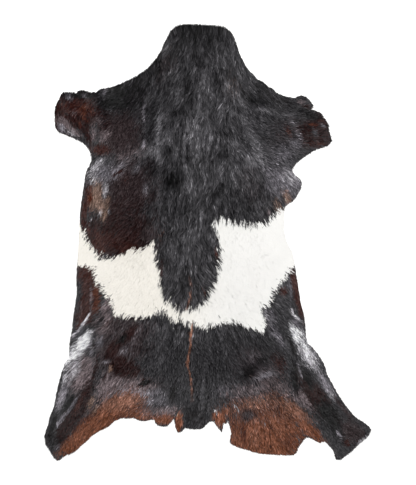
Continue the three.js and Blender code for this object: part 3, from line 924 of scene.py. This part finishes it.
def map_strands(mesh, count):
    """Gives each strand a small field of its own on the map that a baked colour goes to."""
    across = np.array([0, 1, 0, 1, 0, 1, 0.5])
    along = STRAND_ALONG[STRAND_LEVEL]
    fields = math.ceil(math.sqrt(count))
    column, row = np.divmod(np.arange(count), fields)
    margin = 0.14
    u = (column[:, None] + margin + (1 - 2 * margin) * across[None]) / fields
    v = (row[:, None] + margin + (1 - 2 * margin) * along[None]) / fields
    uv = np.stack([u[:, STRAND_FACES], v[:, STRAND_FACES]], axis=2)
    mesh.uv_layers.new(name="OFBake").data.foreach_set("uv", uv.ravel())


def hair_mesh(name, points, side, width, colour):
    """One mesh of many strands: two four-sided faces and a three-sided tip each."""
    count = len(points)
    half = side[:, None, :] * (width[:, None] * STRAND_TAPER[None, :] / 2)[:, :, None]
    left, right = points - half, points + half
    corners = np.stack(
        [left[:, 0], right[:, 0], left[:, 1], right[:, 1], left[:, 2], right[:, 2], points[:, 3]], axis=1
    )
    starts = np.array([0, 4, 8])
    each = corners.shape[1]
    loops = len(STRAND_FACES)
    strand = np.arange(count)[:, None]

    mesh = bpy.data.meshes.new(name)
    mesh.vertices.add(count * each)
    mesh.vertices.foreach_set("co", corners.ravel())
    mesh.loops.add(count * loops)
    mesh.loops.foreach_set("vertex_index", (STRAND_FACES[None] + each * strand).ravel())
    mesh.polygons.add(count * len(starts))
    mesh.polygons.foreach_set("loop_start", (starts[None] + loops * strand).ravel())
    mesh.update(calc_edges=True)
    mesh.shade_smooth()

    # Each strand is painted darker towards its root and a touch lighter at its tip: painted shade and
    # light.
    painted = np.stack([shaded(colour, shade) for shade in ROOT_SHADE], axis=1)[:, STRAND_LEVEL]
    paint(mesh, np.clip(painted.reshape(-1, 3), 0, 0.97))
    map_strands(mesh, count)
    return mesh


def make_hair():
    """The coat in a few meshes, each a thin growth of hair over the whole skin."""
    strands = comb_hair()
    share = rng.integers(0, HAIR_LAYERS, len(strands[0]))
    coats = []
    for layer in range(HAIR_LAYERS):
        name = f"hair_{layer + 1}"
        hair = bpy.data.objects.new(name, hair_mesh(name, *(part[share == layer] for part in strands)))
        bpy.context.collection.objects.link(hair)
        coats.append(hair)
    return coats


# Finishes

def add(tree, kind, settings=None, **links):
    """Adds a node and feeds its sockets, by name or as n and a number, a value or an output."""
    node = tree.nodes.new(kind)
    for key, value in (settings or {}).items():
        setattr(node, key, value)
    for name, value in links.items():
        socket = node.inputs[int(name[1:])] if name[0] == "n" and name[1:].isdigit() else None
        socket = socket or node.inputs[name.replace("_", " ")]
        if isinstance(value, bpy.types.NodeSocket):
            tree.links.new(value, socket)
        else:
            socket.default_value = value
    return node


def new_material(name):
    material = bpy.data.materials.new(name)
    material.use_nodes = True
    material.node_tree.nodes.clear()
    return material, material.node_tree


def goat_hair():
    """Goat hair: smooth, slightly oily guard hair, satin rather than glossy."""
    material, tree = new_material("goat_hair")
    painted = add(tree, "ShaderNodeAttribute", {"attribute_name": "coat"})
    surface = add(
        tree, "ShaderNodeBsdfPrincipled",
        Base_Color=painted.outputs["Color"], Roughness=0.42, IOR=1.5, Specular_IOR_Level=0.15,
    )
    add(tree, "ShaderNodeOutputMaterial", Surface=surface.outputs[0])
    return material


def suede():
    """The flesh side of a tanned skin: a short matt nap, cream with greyer blotches."""
    material, tree = new_material("tanned_flesh_side")
    place = add(tree, "ShaderNodeTexCoord")
    blotch = add(tree, "ShaderNodeTexNoise", Vector=place.outputs["Object"], Scale=14, Detail=4)
    tone = add(
        tree, "ShaderNodeMix", {"data_type": "RGBA"},
        n0=blotch.outputs[0], n6=(*linear("#b9a88f"), 1), n7=(*linear("#d8cbb4"), 1),
    )
    surface = add(tree, "ShaderNodeBsdfPrincipled", Base_Color=tone.outputs[2], Roughness=0.9)
    add(tree, "ShaderNodeOutputMaterial", Surface=surface.outputs[0])
    return material


def skin_under_hair():
    """The grain side of the skin between the roots, where it takes the colour of the hair."""
    material, tree = new_material("skin_under_hair")
    painted = add(tree, "ShaderNodeAttribute", {"attribute_name": "coat"})
    surface = add(tree, "ShaderNodeBsdfPrincipled", Base_Color=painted.outputs["Color"], Roughness=0.7)
    add(tree, "ShaderNodeOutputMaterial", Surface=surface.outputs[0])
    return material


# The floor, the lamps and the world

FLOOR_GAP = 0.2 * MM  # keeps the floor's face clear of the skin's underside


def make_floor():
    """A floor that the camera sees as clean white, and that lights the rug like a plain one."""
    bpy.ops.object.select_all(action="DESELECT")
    bpy.ops.mesh.primitive_plane_add(size=14, location=(0, 0, -FLOOR_GAP))
    floor = bpy.context.object
    floor.name = "floor"
    material, tree = new_material("white_floor")
    seen = add(tree, "ShaderNodeLightPath")
    plain = add(tree, "ShaderNodeBsdfDiffuse", Color=(0.8, 0.8, 0.8, 1))
    white = add(tree, "ShaderNodeBsdfDiffuse", Color=(1, 1, 1, 1))
    lift = add(tree, "ShaderNodeEmission", Strength=0.3)
    clean = add(tree, "ShaderNodeAddShader", n0=white.outputs[0], n1=lift.outputs[0])
    both = add(
        tree, "ShaderNodeMixShader",
        n0=seen.outputs["Is Camera Ray"], n1=plain.outputs[0], n2=clean.outputs[0],
    )
    add(tree, "ShaderNodeOutputMaterial", Surface=both.outputs[0])
    floor.data.materials.append(material)


# Each soft box's share of the light, where all of it together shows a colour as it is written.
LAMPS = [
    # name, azimuth, elevation, distance, size, share
    ("box_over_neck", 90, 74, 2.6, 1.0, 0.60),
    ("box_left", 190, 50, 2.6, 0.9, 0.11),
    ("box_right", -10, 50, 2.6, 0.9, 0.11),
]
WORLD_SHARE = 0.35


def light_the_scene():
    for name, azimuth, elevation, distance, size, share in LAMPS:
        a, e = math.radians(azimuth), math.radians(elevation)
        toward = Vector((math.cos(a) * math.cos(e), math.sin(a) * math.cos(e), math.sin(e)))
        lamp = bpy.data.lights.new(name, "AREA")
        lamp.size = size
        lamp.energy = share * (math.pi * distance) ** 2 / toward.z
        box = bpy.data.objects.new(name, lamp)
        box.location = toward * distance
        box.rotation_mode = "QUATERNION"
        box.rotation_quaternion = (-toward).to_track_quat("-Z", "Y")
        bpy.context.scene.collection.objects.link(box)

    world = bpy.data.worlds.new("studio")
    world.use_nodes = True
    tree = world.node_tree
    tree.nodes.clear()
    seen = add(tree, "ShaderNodeLightPath")
    strength = add(
        tree, "ShaderNodeMapRange",
        Value=seen.outputs["Is Camera Ray"], To_Min=WORLD_SHARE, To_Max=1.0,
    )
    sky = add(tree, "ShaderNodeBackground", Strength=strength.outputs[0])
    add(tree, "ShaderNodeOutputWorld", Surface=sky.outputs[0])
    bpy.context.scene.world = world
    bpy.context.scene.view_settings.view_transform = "Standard"


skin = make_skin()
skin.data.materials.append(skin_under_hair())
skin.data.materials.append(suede())
for face in skin.data.polygons:
    face.material_index = 0 if face.normal.z > 0.3 else 1
hair = make_hair()
hair_finish = goat_hair()
for piece in hair:
    piece.data.materials.append(hair_finish)

for piece in (skin, *hair):
    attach(piece, "root")
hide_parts("goatskin")

make_floor()
light_the_scene()
